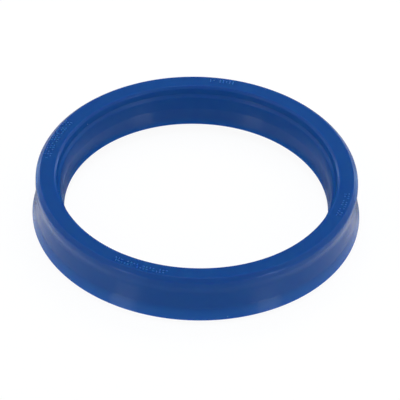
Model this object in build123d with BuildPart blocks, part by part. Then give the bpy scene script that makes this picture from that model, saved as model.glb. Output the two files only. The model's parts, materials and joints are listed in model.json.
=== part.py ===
from build123d import *
import os

# Rod seal: one moulded polyurethane ring with an open channel between two lips.
# The origin is on the axis, in the plane of the lip tips, and +Z points to the heel.
# All sizes are in millimetres. A height is measured up from the lip tips.

# The place that the seal works in: the rod, and the groove round it
rod_diameter = 50.0
groove_width = 5.0
seal_height = 10.0

# Outside of the heel, the solid half of the ring
heel_chamfer_width = 0.8
heel_chamfer_height = 0.7
heel_land_length = 1.2

# Bore of the heel: a chamfered entry, a steep band, and a ledge down to the narrower wall
entry_chamfer_width = 0.4
entry_chamfer_height = 0.42
entry_draft = 0.22
ledge_clearance = 0.45
ledge_drop = 2.05
ledge_width = 0.43
ledge_height = 0.55
neck_overlap = 0.05
neck_drop = 4.4

# Outer lip, which stands proud of the housing while the seal is free
outer_lip_overlap = 0.6
outer_lip_edge_height = 0.95
outer_lip_tip_width = 1.2
outer_lip_tip_thickness = 1.6
flare_overlap = 0.14
flare_height = 3.4
waist_depth = 0.14
waist_drop = 3.1

# Inner lip, whose sealing edge wipes the rod
sealing_overlap = 0.35
sealing_edge_height = 2.1
sealing_land_length = 0.6
inner_lip_tip_height = 1.3
inner_lip_bevel_width = 0.95
inner_lip_tip_thickness = 1.45

# Channel between the lips, open downwards
channel_depth = 5.2
channel_root_width = 1.9
channel_root_radius = 0.85
channel_shift = 0.1

# Radii of the moulded edges and turns
outer_edge_radius = 0.12
sealing_edge_radius = 0.08
heel_back_radius = 0.12
heel_corner_radius = 0.5
entry_edge_radius = 0.12
entry_turn_radius = 0.3
waist_radius = 6.0
wall_blend_radius = 3.0
lip_tip_radius = 0.25

# Radii that follow from the sizes above
rod_radius = rod_diameter / 2
heel_radius = rod_radius + groove_width
outer_lip_radius = heel_radius + outer_lip_overlap
sealing_radius = rod_radius - sealing_overlap
neck_radius = rod_radius - neck_overlap
ledge_radius = rod_radius + ledge_clearance
step_radius = ledge_radius + ledge_width
entry_radius = step_radius + entry_draft
channel_center = (rod_radius + heel_radius) / 2 - channel_shift

# Heights that follow from the sizes above
land_top = seal_height - heel_chamfer_height
ledge_bottom = seal_height - ledge_drop
sealing_land_top = sealing_edge_height + sealing_land_length

# Corners of the section, each as (radius, height), from the heel's back round the outside
back_outer = (heel_radius - heel_chamfer_width, seal_height)
heel_corner = (heel_radius, land_top)
land_end = (heel_radius, land_top - heel_land_length)
waist = (heel_radius - waist_depth, seal_height - waist_drop)
flare = (heel_radius + flare_overlap, flare_height)
outer_edge = (outer_lip_radius, outer_lip_edge_height)
outer_tip = (outer_lip_radius - outer_lip_tip_width, 0)
channel_outer = (outer_lip_radius - outer_lip_tip_thickness, 0)
root_outer = (channel_center + channel_root_width / 2, channel_depth)
root_inner = (channel_center - channel_root_width / 2, channel_depth)
channel_inner = (sealing_radius + inner_lip_tip_thickness, inner_lip_tip_height)
inner_tip = (sealing_radius + inner_lip_bevel_width, inner_lip_tip_height)
sealing_edge = (sealing_radius, sealing_edge_height)
land_inner_end = (sealing_radius, sealing_land_top)
neck = (neck_radius, seal_height - neck_drop)
ledge_inner = (ledge_radius, ledge_bottom)
ledge_outer = (step_radius, ledge_bottom + ledge_height)
entry_start = (entry_radius, seal_height - entry_chamfer_height)
back_inner = (entry_radius + entry_chamfer_width, seal_height)

# Corners that the mould rounds off, each with its radius
rounded_corners = (
    (back_outer, heel_back_radius),
    (heel_corner, heel_corner_radius),
    (land_end, wall_blend_radius),
    (waist, waist_radius),
    (flare, wall_blend_radius),
    (outer_edge, outer_edge_radius),
    (outer_tip, lip_tip_radius),
    (root_outer, channel_root_radius),
    (root_inner, channel_root_radius),
    (channel_inner, lip_tip_radius),
    (sealing_edge, sealing_edge_radius),
    (neck, wall_blend_radius),
    (ledge_inner, entry_turn_radius),
    (ledge_outer, entry_edge_radius),
    (entry_start, entry_turn_radius),
    (back_inner, entry_edge_radius),
)

# The ring is this section turned about the axis
with BuildPart() as seal_ring:
    with BuildSketch(Plane.XZ) as section:
        with BuildLine():
            Line(back_inner, back_outer)
            Line(back_outer, heel_corner)
            Line(heel_corner, land_end)
            Line(land_end, waist)
            Line(waist, flare)
            Line(flare, outer_edge)
            Line(outer_edge, outer_tip)
            Line(outer_tip, channel_outer)
            Line(channel_outer, root_outer)
            Line(root_outer, root_inner)
            Line(root_inner, channel_inner)
            Line(channel_inner, inner_tip)
            Line(inner_tip, sealing_edge)
            Line(sealing_edge, land_inner_end)
            Line(land_inner_end, neck)
            Line(neck, ledge_inner)
            Line(ledge_inner, ledge_outer)
            Line(ledge_outer, entry_start)
            Line(entry_start, back_inner)
        make_face()
        for corner, radius in rounded_corners:
            fillet(section.vertices().sort_by_distance(corner)[0], radius)
    revolve(axis=Axis.Z)
seal_ring.part.label = "seal_ring"

os.makedirs("parts", exist_ok=True)
export_step(seal_ring.part, "parts/seal_ring.step")
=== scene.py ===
"""Rod seal: the finish and the stage of one moulded polyurethane ring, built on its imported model."""
import json
import math

import bmesh
import bpy
from mathutils import Matrix, Vector


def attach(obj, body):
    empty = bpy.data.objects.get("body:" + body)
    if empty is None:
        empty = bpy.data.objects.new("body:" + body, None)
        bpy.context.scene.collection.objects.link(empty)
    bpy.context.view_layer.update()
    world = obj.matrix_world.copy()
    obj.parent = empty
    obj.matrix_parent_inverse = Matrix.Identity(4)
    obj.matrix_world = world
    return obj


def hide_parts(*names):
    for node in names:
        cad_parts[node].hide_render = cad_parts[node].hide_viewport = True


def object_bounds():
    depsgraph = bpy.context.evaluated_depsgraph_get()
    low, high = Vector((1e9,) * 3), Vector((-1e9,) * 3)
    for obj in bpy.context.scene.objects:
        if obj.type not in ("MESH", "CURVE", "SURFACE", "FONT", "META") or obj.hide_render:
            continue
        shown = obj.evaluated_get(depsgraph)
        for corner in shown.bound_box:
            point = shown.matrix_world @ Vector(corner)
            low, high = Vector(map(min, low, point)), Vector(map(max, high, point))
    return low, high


bl_info = {
    "name": "Rod Seal",
    "version": (1, 0, 0),
    "blender": (4, 5, 0),
    "location": "View3D > Sidebar > Rod Seal",
    "description": "Builds a moulded polyurethane rod seal and the stage that shows it",
    "category": "Object",
}

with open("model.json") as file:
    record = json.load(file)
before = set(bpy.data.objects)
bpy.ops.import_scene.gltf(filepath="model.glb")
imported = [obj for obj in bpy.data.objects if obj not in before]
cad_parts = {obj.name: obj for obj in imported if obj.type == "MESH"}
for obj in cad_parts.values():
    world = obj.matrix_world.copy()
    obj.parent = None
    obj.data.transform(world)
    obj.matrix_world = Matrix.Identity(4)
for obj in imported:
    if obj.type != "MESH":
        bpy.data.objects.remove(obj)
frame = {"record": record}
CAD_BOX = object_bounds()
MOUNTS = {mount["name"]: mount for mount in frame["record"]["mounts"]}
BODY = "root"
NODE = "seal_ring"

MM = 0.001
WHITE = "#FFFFFF"


# Properties

def length(name, millimetres, description):
    """A size that the user can change, given in millimetres and kept in metres."""
    return bpy.props.FloatProperty(
        name=name, description=description, default=millimetres * MM,
        precision=5, unit="LENGTH", subtype="DISTANCE",
    )


def colour(name, code, description):
    """A colour that the user can change, given as an sRGB hex code."""
    return bpy.props.StringProperty(name=name, description=description, default=code)


class RingSizes(bpy.types.PropertyGroup):
    """Sizes of the ring's section; heights are measured from the lip tips."""

    heel_radius: length("Heel Radius", MOUNTS["housing_seat"]["dims"]["r_mm"], "Outside of the heel")
    height: length("Height", CAD_BOX[1].z / MM, "From the lip tips to the heel's back")
    chamfer_width: length("Chamfer Width", 0.8, "Heel's outer chamfer, across the back")
    chamfer_height: length("Chamfer Height", 0.7, "Heel's outer chamfer, along the axis")
    land: length("Heel Land", 1.2, "Straight band of the heel")
    waist_depth: length("Waist Depth", 0.14, "How far the waist lies inside the heel")
    waist_drop: length("Waist Drop", 3.1, "From the heel's back to the waist")
    flare_overlap: length("Flare Overlap", 0.14, "How far the flare's start stands outside the heel")
    flare_height: length("Flare Height", 3.4, "Where the outer lip starts to flare")
    lip_overlap: length("Lip Overlap", 0.6, "How far the outer lip stands outside the heel")
    lip_edge_height: length("Lip Edge Height", 0.95, "Height of the outer lip's edge")
    lip_tip_width: length("Lip Tip Width", 1.2, "Bevel below the outer lip's edge")
    lip_tip_thickness: length("Lip Tip Thickness", 1.6, "From the outer lip's edge to the channel")
    seal_radius: length("Seal Radius", MOUNTS["rod_bore"]["dims"]["r_mm"], "Sealing edge, unstretched")
    seal_height: length("Seal Height", 2.1, "Height of the sealing edge")
    seal_land: length(
        "Seal Land", MOUNTS["rod_bore"]["dims"]["length_mm"], "Straight band at the sealing edge")
    inner_tip_height: length("Inner Tip Height", 1.3, "How much shorter the inner lip is")
    inner_bevel_width: length("Inner Bevel Width", 0.95, "Bevel below the sealing edge")
    inner_tip_thickness: length("Inner Tip Thickness", 1.45, "From the sealing edge to the channel")
    neck_width: length("Neck Width", 0.3, "Bore's narrow wall outside the sealing edge")
    neck_drop: length("Neck Drop", 4.4, "From the heel's back to the narrow wall")
    ledge_radius: length("Ledge Radius", 25.45, "Inner edge of the ledge in the bore")
    ledge_drop: length("Ledge Drop", 2.05, "From the heel's back to the ledge's inner edge")
    ledge_width: length("Ledge Width", 0.43, "Slope of the ledge, outwards")
    ledge_height: length("Ledge Height", 0.55, "Slope of the ledge, along the axis")
    entry_draft: length("Entry Draft", 0.22, "Steep band above the ledge, outwards")
    entry_width: length("Entry Width", 0.4, "Chamfer at the bore's entry, outwards")
    entry_height: length("Entry Height", 0.42, "Chamfer at the bore's entry, along the axis")
    channel_depth: length("Channel Depth", 5.2, "Depth of the channel between the lips")
    channel_center: length("Channel Center", 27.4, "Middle radius of the channel's root")
    channel_root: length("Channel Root", 1.9, "Width of the channel's root")
    entry_rounding: length("Entry Rounding", 0.3, "Soft turns of the entry and the ledge")
    back_rounding: length("Back Rounding", 0.12, "Outer edge of the heel's back")
    corner_rounding: length("Corner Rounding", 0.5, "Lower edge of the heel's chamfer")
    waist_rounding: length("Waist Rounding", 6.0, "Hollow of the waist")
    blend_rounding: length("Blend Rounding", 3.0, "Soft turns of both walls into the lips")
    edge_rounding: length("Edge Rounding", 0.12, "Edge of the outer lip, and of the bore's entry")
    seal_rounding: length("Seal Rounding", 0.08, "Sealing edge")
    tip_rounding: length("Tip Rounding", 0.25, "Tips of both lips")
    root_rounding: length("Root Rounding", 0.85, "Corners of the channel's root")


class FinishLooks(bpy.types.PropertyGroup):
    """Colour and gloss of the polyurethane."""

    body_colour: colour("Body Colour", "#0F4383", "Blue of the polyurethane")
    # Lighter blue painted on the lips for the light that passes through them
    lip_light_colour: colour("Lip Light Colour", "#165297", "Lighter blue of the thin lips")
    patch_colour: colour("Patch Colour", "#1C5A9C", "Blue of the faint cloudy patches")
    speck_colour: colour("Speck Colour", "#9FB6D6", "Pale dust specks")
    # The marks' blue is lighter than the body's as a painted highlight, so that the small raised marks
    # read as light dots
    mark_highlight_colour: colour("Mark Highlight Colour", "#2662AC", "Blue of the etched mould marks")
    roughness: bpy.props.FloatProperty(
        name="Roughness", description="Of the moulded surface", default=0.2,
    )
    mark_roughness: bpy.props.FloatProperty(
        name="Mark Roughness", description="Of the mould marks", default=0.3,
    )
    mark_height: length("Mark Height", 0.05, "How proud the mould marks stand")


class StageLooks(bpy.types.PropertyGroup):
    """Camera and light of the stage."""

    distance: length("Distance", 793.0, "From the camera to the point that it looks at")
    elevation: bpy.props.FloatProperty(
        name="Elevation", description="Camera's height above the horizon",
        default=math.radians(40.13), subtype="ANGLE", unit="ROTATION",
    )
    roll: bpy.props.FloatProperty(
        name="Roll", description="Turn of the camera about its line of sight",
        default=math.radians(1.64), subtype="ANGLE", unit="ROTATION",
    )
    lens: bpy.props.FloatProperty(
        name="Lens", description="Focal length in millimetres", default=384.1,
    )


# Mesh and material helpers

MERGE_DISTANCE = 1e-7

# The sRGB curve: a straight start, then a power
SRGB_KNEE = 0.04045
SRGB_SLOPE = 12.92
SRGB_OFFSET = 0.055
SRGB_POWER = 2.4


def linear_value(pair):
    """Two hex digits of an sRGB code as a linear share of one."""
    value = int(pair, 16) / 0xFF
    if value <= SRGB_KNEE:
        return value / SRGB_SLOPE
    return ((value + SRGB_OFFSET) / (1 + SRGB_OFFSET)) ** SRGB_POWER


def linear(code):
    """An sRGB hex code as linear red, green, blue and alpha."""
    return [linear_value(code[i:i + 2]) for i in (1, 3, 5)] + [1.0]


def add_node(tree, kind, inputs=None, **settings):
    """Adds a node; inputs holds its sockets' values, or the sockets that they are linked from."""
    node = tree.nodes.new(kind)
    for name, value in settings.items():
        setattr(node, name, value)
    for name, value in (inputs or {}).items():
        if isinstance(value, bpy.types.NodeSocket):
            tree.links.new(value, node.inputs[name])
        else:
            node.inputs[name].default_value = value
    return node


def new_material(name):
    """An empty node material, and its node tree."""
    material = bpy.data.materials.new(name)
    material.use_nodes = True
    material.node_tree.nodes.clear()
    return material, material.node_tree


def finished_piece(name, bm, material):
    """Turns a bmesh into a smooth piece that rides on the ring's body."""
    bmesh.ops.remove_doubles(bm, verts=bm.verts, dist=MERGE_DISTANCE)
    bmesh.ops.recalc_face_normals(bm, faces=bm.faces)
    for face in bm.faces:
        face.smooth = True
    mesh = bpy.data.meshes.new(name)
    bm.to_mesh(mesh)
    bm.free()
    piece = bpy.data.objects.new(name, mesh)
    bpy.context.scene.collection.objects.link(piece)
    piece.data.materials.append(material)
    normals = piece.modifiers.new("Weighted Normals", "WEIGHTED_NORMAL")
    normals.mode = "FACE_AREA"
    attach(piece, BODY)
    return piece


# Seal ring

TURN_STEPS = 360
ROUNDING_STEPS = 6

# Heights between which the ring thins out into its lips
THICK_ABOVE = 4.0 * MM
THIN_BELOW = 1.6 * MM

# Depth that light reaches into the ring and into its marks, and how far red, green and blue travel
LIGHT_DEPTH = 1.5 * MM
MARK_DEPTH = 0.1 * MM
LIGHT_REACH = (0.1, 0.4, 1.0)

# Index of refraction: polyurethane is near 1.5, and the lower value matches the weak gloss of this ring
REFRACTION = 1.25

# Cloudy patches in the blue: their size, detail and strength
PATCH_SIZE = 2.5 * MM
PATCH_DETAIL = 2.0
PATCH_TINT = 0.12

# Polish of the mould, in patches of the same size: its detail, and how far the roughness swings
POLISH_DETAIL = 4.0
ROUGHNESS_SWING = 0.03

# Fine grain of the mould: its size, detail and height
GRAIN_SIZE = 0.12 * MM
GRAIN_DETAIL = 2.0
GRAIN_HEIGHT = 0.004 * MM

# Dust: tiny specks, at most one in a cell of this size, and only in a few of the cells
SPECK_CELL = 3.0 * MM
SPECK_RADIUS = 0.1 * MM
SPECK_SHARE = 0.12
SPECK_COVER = 0.5


def section_corners(s):
    """Corners of the section from the heel's back round the outside: radius, height, rounding."""
    land_top = s.height - s.chamfer_height
    lip_radius = s.heel_radius + s.lip_overlap
    ledge_bottom = s.height - s.ledge_drop
    step_radius = s.ledge_radius + s.ledge_width
    entry_radius = step_radius + s.entry_draft
    return (
        (s.heel_radius - s.chamfer_width, s.height, s.back_rounding),
        (s.heel_radius, land_top, s.corner_rounding),
        (s.heel_radius, land_top - s.land, s.blend_rounding),
        (s.heel_radius - s.waist_depth, s.height - s.waist_drop, s.waist_rounding),
        (s.heel_radius + s.flare_overlap, s.flare_height, s.blend_rounding),
        (lip_radius, s.lip_edge_height, s.edge_rounding),
        (lip_radius - s.lip_tip_width, 0, s.tip_rounding),
        (lip_radius - s.lip_tip_thickness, 0, 0),
        (s.channel_center + s.channel_root / 2, s.channel_depth, s.root_rounding),
        (s.channel_center - s.channel_root / 2, s.channel_depth, s.root_rounding),
        (s.seal_radius + s.inner_tip_thickness, s.inner_tip_height, s.tip_rounding),
        (s.seal_radius + s.inner_bevel_width, s.inner_tip_height, 0),
        (s.seal_radius, s.seal_height, s.seal_rounding),
        (s.seal_radius, s.seal_height + s.seal_land, 0),
        (s.seal_radius + s.neck_width, s.height - s.neck_drop, s.blend_rounding),
        (s.ledge_radius, ledge_bottom, s.entry_rounding),
        (step_radius, ledge_bottom + s.ledge_height, s.edge_rounding),
        (entry_radius, s.height - s.entry_height, s.entry_rounding),
        (entry_radius + s.entry_width, s.height, s.edge_rounding),
    )


def round_corner(bm, vert, radius):
    """Rounds one corner of a wire outline to a radius."""
    arms = [(edge.other_vert(vert).co - vert.co).normalized() for edge in vert.link_edges]
    half_turn = (math.pi - arms[0].angle(arms[1])) / 2
    bmesh.ops.bevel(
        bm, geom=[vert], offset=radius * math.tan(half_turn), offset_type="OFFSET",
        segments=ROUNDING_STEPS, profile=0.5, affect="VERTICES", material=-1,
    )


def build_ring(sizes, material):
    """Turns the section about the axis into the one-piece ring."""
    bm = bmesh.new()
    corners = section_corners(sizes)
    verts = [bm.verts.new((radius, 0, height)) for radius, height, _ in corners]
    for start, end in zip(verts, verts[1:] + verts[:1]):
        bm.edges.new((start, end))
    for vert, (_, _, rounding) in zip(verts, corners):
        if rounding:
            round_corner(bm, vert, rounding)
    bmesh.ops.spin(
        bm, geom=bm.verts[:] + bm.edges[:], cent=(0, 0, 0), axis=(0, 0, 1), dvec=(0, 0, 0),
        angle=math.tau, steps=TURN_STEPS, use_merge=True,
    )
    ring = finished_piece("moulded_ring", bm, material)
    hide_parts(NODE)
    return ring


def noise(tree, coords, size, detail):
    """A pattern of grey patches of a real size."""
    pattern = add_node(tree, "ShaderNodeTexNoise", {
        "Vector": coords.outputs["Object"], "Scale": 1 / size, "Detail": detail})
    return pattern.outputs["Fac"]


def specks(tree, coords):
    """One on a few tiny specks of dust, and zero elsewhere."""
    cells = add_node(tree, "ShaderNodeTexVoronoi", {
        "Vector": coords.outputs["Object"], "Scale": 1 / SPECK_CELL})
    near = add_node(tree, "ShaderNodeMath", {
        0: cells.outputs["Distance"], 1: SPECK_RADIUS / SPECK_CELL}, operation="LESS_THAN")
    chance = add_node(tree, "ShaderNodeSeparateColor", {"Color": cells.outputs["Color"]})
    chosen = add_node(tree, "ShaderNodeMath", {
        0: chance.outputs["Red"], 1: SPECK_SHARE}, operation="LESS_THAN")
    both = add_node(tree, "ShaderNodeMath", {
        0: near.outputs["Value"], 1: chosen.outputs["Value"]}, operation="MULTIPLY")
    cover = add_node(tree, "ShaderNodeMath", {
        0: both.outputs["Value"], 1: SPECK_COVER}, operation="MULTIPLY")
    return cover.outputs["Value"]


def polyurethane(name, body_colour, roughness, depth, looks):
    """Cast blue polyurethane, moulded: satin gloss over a deep colour that lets a little light in."""
    material, tree = new_material(name)
    coords = add_node(tree, "ShaderNodeTexCoord")
    place = add_node(tree, "ShaderNodeSeparateXYZ", {"Vector": coords.outputs["Object"]})
    # Painted light: the lips are thin, so light passes through them and they look lighter than the solid
    # heel; a lighter blue is painted on them, more so lower down
    thin = add_node(tree, "ShaderNodeMapRange", {
        "Value": place.outputs["Z"], "From Min": THICK_ABOVE, "From Max": THIN_BELOW,
    }, interpolation_type="SMOOTHSTEP")
    body = add_node(tree, "ShaderNodeMixRGB", {
        "Fac": thin.outputs["Result"],
        "Color1": linear(body_colour), "Color2": linear(looks.lip_light_colour)})
    # Flow in the mould leaves the blue a little uneven
    cloud = add_node(tree, "ShaderNodeMath", {
        0: noise(tree, coords, PATCH_SIZE, PATCH_DETAIL), 1: PATCH_TINT}, operation="MULTIPLY")
    tinted = add_node(tree, "ShaderNodeMixRGB", {
        "Fac": cloud.outputs["Value"],
        "Color1": body.outputs["Color"], "Color2": linear(looks.patch_colour)})
    dusty = add_node(tree, "ShaderNodeMixRGB", {
        "Fac": specks(tree, coords),
        "Color1": tinted.outputs["Color"], "Color2": linear(looks.speck_colour)})
    # The polish of the mould varies, so the gloss is broken up slightly
    rough = add_node(tree, "ShaderNodeMapRange", {
        "Value": noise(tree, coords, PATCH_SIZE, POLISH_DETAIL),
        "To Min": roughness - ROUGHNESS_SWING, "To Max": roughness + ROUGHNESS_SWING})
    grain = add_node(tree, "ShaderNodeBump", {
        "Height": noise(tree, coords, GRAIN_SIZE, GRAIN_DETAIL), "Distance": GRAIN_HEIGHT})
    shader = add_node(tree, "ShaderNodeBsdfPrincipled", {
        "Base Color": dusty.outputs["Color"],
        "Roughness": rough.outputs["Result"],
        "Normal": grain.outputs["Normal"],
        "IOR": REFRACTION,
        "Subsurface Weight": 1.0,
        "Subsurface Radius": LIGHT_REACH,
        "Subsurface Scale": depth,
    })
    add_node(tree, "ShaderNodeOutputMaterial", {"Surface": shader.outputs["BSDF"]})
    return material


class BuildRing(bpy.types.Operator):
    """Build the moulded ring in place of the CAD solid"""

    bl_idname = "rod_seal.build_ring"
    bl_label = "Build Ring"

    def execute(self, context):
        looks = context.scene.rod_seal_finish
        material = polyurethane(
            "moulded_polyurethane", looks.body_colour, looks.roughness, LIGHT_DEPTH, looks)
        build_ring(context.scene.rod_seal_ring, material)
        return {"FINISHED"}


# Mould marks

# Middle radius of the rows, how far the marks are sunk in, the step between them and their soft edge
MARK_RADIUS = 28.35 * MM
MARK_SUNK = 0.02 * MM
MARK_PITCH = 0.62 * MM
MARK_EDGE = 0.03 * MM
DOT_RADIUS = 0.17 * MM
DOT_STEPS = 16
BAR_EDGE_STEPS = 2

# Rows of marks: the first mark's azimuth in degrees, how far out the row lies, and the marks
MARK_ROWS = (
    (149.5, -0.55 * MM, "|. .|-. |.. -|. |."),
    (150.1, 0.0, ".- |. I..- .|. -. |"),
    (149.5, 0.55 * MM, "-|. |.- ..| .|.- |"),
    (77.0, -0.1 * MM, "II|II .I"),
    (239.5, -0.4 * MM, ".|- .|.| -.|. |.-"),
    (240.1, 0.25 * MM, "|..|-. |.|. -|.."),
    (338.0, -0.4 * MM, "-.|. |-. .|"),
    (338.6, 0.25 * MM, "|. -|.. |.-"),
)
# Plain bars, each as its length along the radius and its width round the ring
MARK_BARS = {"I": (0.9 * MM, 0.2 * MM), "|": (0.45 * MM, 0.2 * MM), "-": (0.2 * MM, 0.4 * MM)}


def add_bar(bm, place, radial, around, height):
    """A plain raised bar on the heel's back, with softened edges."""
    verts = bmesh.ops.create_cube(bm, size=1.0)["verts"]
    bmesh.ops.transform(bm, matrix=place @ Matrix.Diagonal((radial, around, height, 1)), verts=verts)
    edges = list({edge for vert in verts for edge in vert.link_edges})
    bmesh.ops.bevel(
        bm, geom=edges, offset=MARK_EDGE, segments=BAR_EDGE_STEPS, profile=0.5,
        affect="EDGES", material=-1,
    )


def add_dot(bm, place, height):
    """A plain raised dot on the heel's back."""
    bmesh.ops.create_cone(
        bm, cap_ends=True, segments=DOT_STEPS, radius1=DOT_RADIUS, radius2=DOT_RADIUS - MARK_EDGE,
        depth=height, matrix=place,
    )


def build_marks(sizes, looks, material):
    """Rows of raised bars and dots that the mould leaves on the heel's back."""
    bm = bmesh.new()
    height = looks.mark_height + MARK_SUNK
    middle = sizes.height - MARK_SUNK + height / 2
    for azimuth, outward, row in MARK_ROWS:
        radius = MARK_RADIUS + outward
        for step, mark in enumerate(row):
            angle = math.radians(azimuth) + step * MARK_PITCH / radius
            place = Matrix.Rotation(angle, 4, "Z") @ Matrix.Translation((radius, 0, middle))
            if mark in MARK_BARS:
                add_bar(bm, place, *MARK_BARS[mark], height)
            elif mark == ".":
                add_dot(bm, place, height)
    return finished_piece("mould_marks", bm, material)


class BuildMarks(bpy.types.Operator):
    """Build the raised mould marks on the heel's back"""

    bl_idname = "rod_seal.build_marks"
    bl_label = "Build Mould Marks"

    def execute(self, context):
        looks = context.scene.rod_seal_finish
        # The marks get a lighter blue than the body: a painted highlight
        material = polyurethane(
            "mark_polyurethane_painted_highlight", looks.mark_highlight_colour, looks.mark_roughness, MARK_DEPTH, looks)
        build_marks(context.scene.rod_seal_ring, looks, material)
        return {"FINISHED"}


# Stage

# Floor, a disc in metres: the grey and the glow of its paper, and its roughness as the gloss sees it
FLOOR_RADIUS = 3.0
FLOOR_STEPS = 64
PAPER = "#BCBCBC"
PAPER_GLOW = 0.5
PLATE_ROUGHNESS = 0.1

# Strength of the even light from all round
WORLD_FILL = 0.3

# Share of plain white in what the camera sees of the floor; the rest keeps the ring's shadow
BACKDROP_SHARE = 0.87

# The photograph's camera: its sensor in millimetres, how far it looks, and its aim off the axis
SENSOR_WIDTH = 36.0
VIEW_END = 10.0
AIM_RIGHT = 0.561 * MM
AIM_UP = -4.737 * MM

# Tints of the softboxes, from the bluest to nearly white
DAYLIGHT = "#AEDAFF"
SKYLIGHT = "#CFE7FF"
COOL_WHITE = "#E4F4FF"

# Softboxes: where each one is seen from the ring (degrees, metres), size in metres, power and tint
SOFTBOXES = (
    {"name": "left_strip", "azimuth": 225, "elevation": 16, "distance": 0.5,
     "size": (0.12, 0.24), "watts": 0.43, "tint": COOL_WHITE},
    {"name": "right_strip", "azimuth": 318, "elevation": 16, "distance": 0.5,
     "size": (0.12, 0.24), "watts": 0.42, "tint": COOL_WHITE},
    {"name": "back_left_strip", "azimuth": 138, "elevation": 4, "distance": 0.5,
     "size": (0.18, 0.06), "watts": 0.13, "tint": DAYLIGHT},
    {"name": "back_right_strip", "azimuth": 42, "elevation": 4, "distance": 0.5,
     "size": (0.18, 0.06), "watts": 0.13, "tint": DAYLIGHT},
    {"name": "left_fill", "azimuth": 180, "elevation": 25, "distance": 0.8,
     "size": (0.8, 0.8), "watts": 2.0, "tint": WHITE},
    {"name": "right_fill", "azimuth": 0, "elevation": 25, "distance": 0.8,
     "size": (0.8, 0.8), "watts": 2.2, "tint": WHITE},
    {"name": "front_fill", "azimuth": 270, "elevation": 50, "distance": 0.8,
     "size": (0.8, 0.8), "watts": 0.45, "tint": WHITE},
    {"name": "top_softbox", "azimuth": 270, "elevation": 88, "distance": 0.8,
     "size": (0.3, 0.3), "watts": 2.0, "tint": SKYLIGHT},
    {"name": "near_fill", "azimuth": 80, "elevation": 60, "distance": 0.25,
     "size": (0.15, 0.15), "watts": 0.21, "tint": WHITE},
)
# These only brighten the colour, and leave no reflection in the gloss
FILLS = ("left_fill", "right_fill", "front_fill", "near_fill")

# Cards that only the gloss sees: one greys the white at the back, one stands for the camera's side
BACK_CARD = {"azimuth": 90, "elevation": 48, "distance": 0.6, "size": (0.45, 0.86)}
FRONT_CARD = {"azimuth": 270, "elevation": 35, "distance": 0.6, "size": (0.7, 0.55)}
BACK_GREY = "#989898"
FRONT_GLOW = 0.55

# Painted shadow on the table inside the hole, seen only in the gloss: what a circle moved to the front
# leaves within the sealing edge
SHADE_GREY = "#181818"
SHADE_CIRCLE = 26.2 * MM
SHADE_SHIFT = 6.3 * MM
SHADE_RIM = 24.4 * MM
SHADE_LIFT = 0.02 * MM
SHADE_STEPS = 180


def background_rays(tree):
    """One where a ray should see the white background, and zero where it carries light."""
    path = add_node(tree, "ShaderNodeLightPath")
    seen = add_node(tree, "ShaderNodeMath", {
        0: path.outputs["Is Camera Ray"], 1: path.outputs["Is Glossy Ray"]}, operation="MAXIMUM")
    return add_node(tree, "ShaderNodeMath", {
        0: seen.outputs["Value"], 1: path.outputs["Is Transmission Ray"]}, operation="MAXIMUM")


def white_paper():
    """Matt white paper, which the camera sees as a clean background with the ring's faint shadow."""
    material, tree = new_material("matt_white_paper")
    path = add_node(tree, "ShaderNodeLightPath")
    seen = background_rays(tree)
    share = add_node(tree, "ShaderNodeMath", {
        0: seen.outputs["Value"], 1: BACKDROP_SHARE}, operation="MULTIPLY")
    paper = add_node(tree, "ShaderNodeBsdfDiffuse", {"Color": linear(PAPER)})
    lit = add_node(tree, "ShaderNodeEmission", {"Color": linear(WHITE), "Strength": PAPER_GLOW})
    table = add_node(tree, "ShaderNodeAddShader", {0: paper.outputs["BSDF"], 1: lit.outputs["Emission"]})
    glow = add_node(tree, "ShaderNodeEmission", {"Color": linear(WHITE), "Strength": 1.0})
    mixed = add_node(tree, "ShaderNodeMixShader", {
        "Fac": share.outputs["Value"], 1: table.outputs["Shader"], 2: glow.outputs["Emission"]})
    # In the ring's gloss the table mirrors the softboxes, as a polished plate would
    mirror = add_node(tree, "ShaderNodeBsdfGlossy", {
        "Color": linear(WHITE), "Roughness": PLATE_ROUGHNESS})
    polished = add_node(tree, "ShaderNodeMixShader", {
        "Fac": path.outputs["Is Glossy Ray"], 1: mixed.outputs["Shader"], 2: mirror.outputs["BSDF"]})
    add_node(tree, "ShaderNodeOutputMaterial", {"Surface": polished.outputs["Shader"]})
    return material


def lay_floor():
    """The floor that the ring stands on."""
    bm = bmesh.new()
    bmesh.ops.create_circle(bm, cap_ends=True, segments=FLOOR_STEPS, radius=FLOOR_RADIUS)
    mesh = bpy.data.meshes.new("paper_floor")
    bm.to_mesh(mesh)
    bm.free()
    floor = bpy.data.objects.new("paper_floor", mesh)
    floor.data.materials.append(white_paper())
    bpy.context.scene.collection.objects.link(floor)


def light_world():
    """White behind everything that is seen, and a soft even fill for the light itself."""
    world = bpy.data.worlds.new("studio_world")
    bpy.context.scene.world = world
    world.use_nodes = True
    tree = world.node_tree
    tree.nodes.clear()
    seen = background_rays(tree)
    fill = add_node(tree, "ShaderNodeBackground", {"Color": linear(WHITE), "Strength": WORLD_FILL})
    backdrop = add_node(tree, "ShaderNodeBackground", {"Color": linear(WHITE), "Strength": 1.0})
    mixed = add_node(tree, "ShaderNodeMixShader", {
        "Fac": seen.outputs["Value"], 1: fill.outputs["Background"], 2: backdrop.outputs["Background"]})
    add_node(tree, "ShaderNodeOutputWorld", {"Surface": mixed.outputs["Shader"]})


def away_from_ring(azimuth, elevation):
    """The direction from the ring's origin to a stage piece."""
    a, e = math.radians(azimuth), math.radians(elevation)
    return Vector((math.cos(a) * math.cos(e), math.sin(a) * math.cos(e), math.sin(e)))


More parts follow.
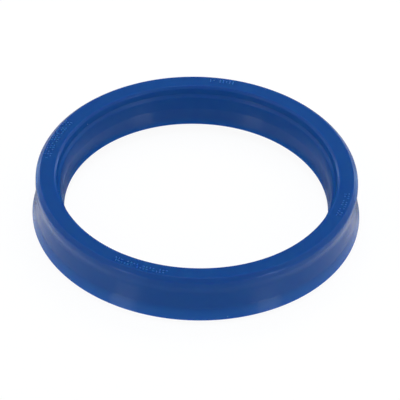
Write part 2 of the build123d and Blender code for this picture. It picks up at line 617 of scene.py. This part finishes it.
def add_softbox(name, azimuth, elevation, distance, size, watts, tint):
    """A rectangular area light that faces the ring."""
    lamp = bpy.data.lights.new(name, "AREA")
    lamp.shape = "RECTANGLE"
    lamp.size, lamp.size_y = size
    lamp.energy = watts
    lamp.color = linear(tint)[:3]
    box = bpy.data.objects.new(name, lamp)
    bpy.context.scene.collection.objects.link(box)
    away = away_from_ring(azimuth, elevation)
    box.location = away * distance
    box.rotation_mode = "QUATERNION"
    box.rotation_quaternion = away.to_track_quat("Z", "Y")
    box.visible_camera = False
    box.visible_glossy = name not in FILLS


def gloss_piece(name, bm, kind, inputs):
    """A piece of the stage that only the gloss sees."""
    material, tree = new_material(name)
    surface = add_node(tree, kind, inputs)
    add_node(tree, "ShaderNodeOutputMaterial", {"Surface": surface.outputs[0]})
    mesh = bpy.data.meshes.new(name)
    bm.to_mesh(mesh)
    bm.free()
    piece = bpy.data.objects.new(name, mesh)
    piece.data.materials.append(material)
    bpy.context.scene.collection.objects.link(piece)
    for ray in ("camera", "diffuse", "shadow", "transmission", "volume_scatter"):
        setattr(piece, "visible_" + ray, False)


def card_mesh(azimuth, elevation, distance, size):
    """A flat card that faces the ring."""
    away = away_from_ring(azimuth, elevation)
    turn = away.to_track_quat("Z", "Y").to_matrix().to_4x4()
    bm = bmesh.new()
    bmesh.ops.create_grid(bm, x_segments=1, y_segments=1, size=0.5)
    bm.transform(Matrix.Translation(away * distance) @ turn @ Matrix.Diagonal((*size, 1, 1)))
    return bm


def shade_mesh():
    """A painted shadow: a dark crescent on the table, widest at the back, where the wall of the ring
    keeps the light off.
    """
    bm = bmesh.new()
    rows = []
    for step in range(1, SHADE_STEPS):
        angle = math.pi * step / SHADE_STEPS
        up = SHADE_SHIFT * math.sin(angle)
        edge = math.sqrt(up ** 2 + SHADE_CIRCLE ** 2 - SHADE_SHIFT ** 2) - up
        if edge < SHADE_RIM:
            toward = Vector((math.cos(angle), math.sin(angle), 0))
            lift = Vector((0, 0, SHADE_LIFT))
            rows.append([bm.verts.new(toward * radius + lift) for radius in (SHADE_RIM, edge)])
    for (rim, edge), (next_rim, next_edge) in zip(rows, rows[1:]):
        bm.faces.new((rim, next_rim, next_edge, edge))
    return bm


def set_cards():
    """The cards and the painted shade that shape the gloss."""
    back = {"Color": linear(BACK_GREY)}
    front = {"Color": linear(WHITE), "Strength": FRONT_GLOW}
    gloss_piece("matt_grey_card", card_mesh(**BACK_CARD), "ShaderNodeBsdfDiffuse", back)
    gloss_piece("pale_grey_card", card_mesh(**FRONT_CARD), "ShaderNodeEmission", front)
    # The crescent is a painted shadow: a dark sheet on the table that only the gloss sees
    gloss_piece("painted_table_shade", shade_mesh(), "ShaderNodeBsdfDiffuse", {"Color": linear(SHADE_GREY)})


def place_camera(looks):
    """The photograph's view: a long lens from the front, above, with a slight roll."""
    camera = bpy.data.objects.new("camera", bpy.data.cameras.new("camera"))
    bpy.context.scene.collection.objects.link(camera)
    camera.data.sensor_width = SENSOR_WIDTH
    camera.data.lens = looks.lens
    forward = Vector((0, math.cos(looks.elevation), -math.sin(looks.elevation)))
    level_right = Vector((1, 0, 0))
    level_up = level_right.cross(forward)
    right = math.cos(looks.roll) * level_right + math.sin(looks.roll) * level_up
    up = math.cos(looks.roll) * level_up - math.sin(looks.roll) * level_right
    target = Vector((0, 0, CAD_BOX[1].z)) + AIM_RIGHT * right + AIM_UP * up
    axes = Matrix((right, up, -forward)).transposed()
    camera.matrix_world = Matrix.Translation(target - forward * looks.distance) @ axes.to_4x4()
    camera.data.clip_end = VIEW_END
    bpy.context.scene.camera = camera


class BuildStage(bpy.types.Operator):
    """Set the floor, the light and the camera"""

    bl_idname = "rod_seal.build_stage"
    bl_label = "Build Stage"

    def execute(self, context):
        lay_floor()
        light_world()
        for softbox in SOFTBOXES:
            add_softbox(**softbox)
        set_cards()
        place_camera(context.scene.rod_seal_stage)
        context.scene.view_settings.view_transform = "Standard"
        return {"FINISHED"}


class RodSealPanel(bpy.types.Panel):
    """Lists the sizes, the colours and the steps of the rod seal"""

    bl_idname = "VIEW3D_PT_rod_seal"
    bl_label = "Rod Seal"
    bl_space_type = "VIEW_3D"
    bl_region_type = "UI"
    bl_category = "Rod Seal"

    def draw(self, context):
        for group_name, group in GROUPS.items():
            box = self.layout.box()
            for name in group.__annotations__:
                box.prop(getattr(context.scene, group_name), name)
        for operator in OPERATORS:
            self.layout.operator(operator.bl_idname)


GROUPS = {"rod_seal_ring": RingSizes, "rod_seal_finish": FinishLooks, "rod_seal_stage": StageLooks}
OPERATORS = (BuildStage, BuildRing, BuildMarks)


def register():
    for name, group in GROUPS.items():
        bpy.utils.register_class(group)
        setattr(bpy.types.Scene, name, bpy.props.PointerProperty(type=group))
    for shown in OPERATORS + (RodSealPanel,):
        bpy.utils.register_class(shown)


def unregister():
    for shown in reversed(OPERATORS + (RodSealPanel,)):
        bpy.utils.unregister_class(shown)
    for name, group in GROUPS.items():
        delattr(bpy.types.Scene, name)
        bpy.utils.unregister_class(group)


def main():
    register()
    bpy.ops.rod_seal.build_stage()
    bpy.ops.rod_seal.build_ring()
    bpy.ops.rod_seal.build_marks()


if __name__ == "__main__":
    main()
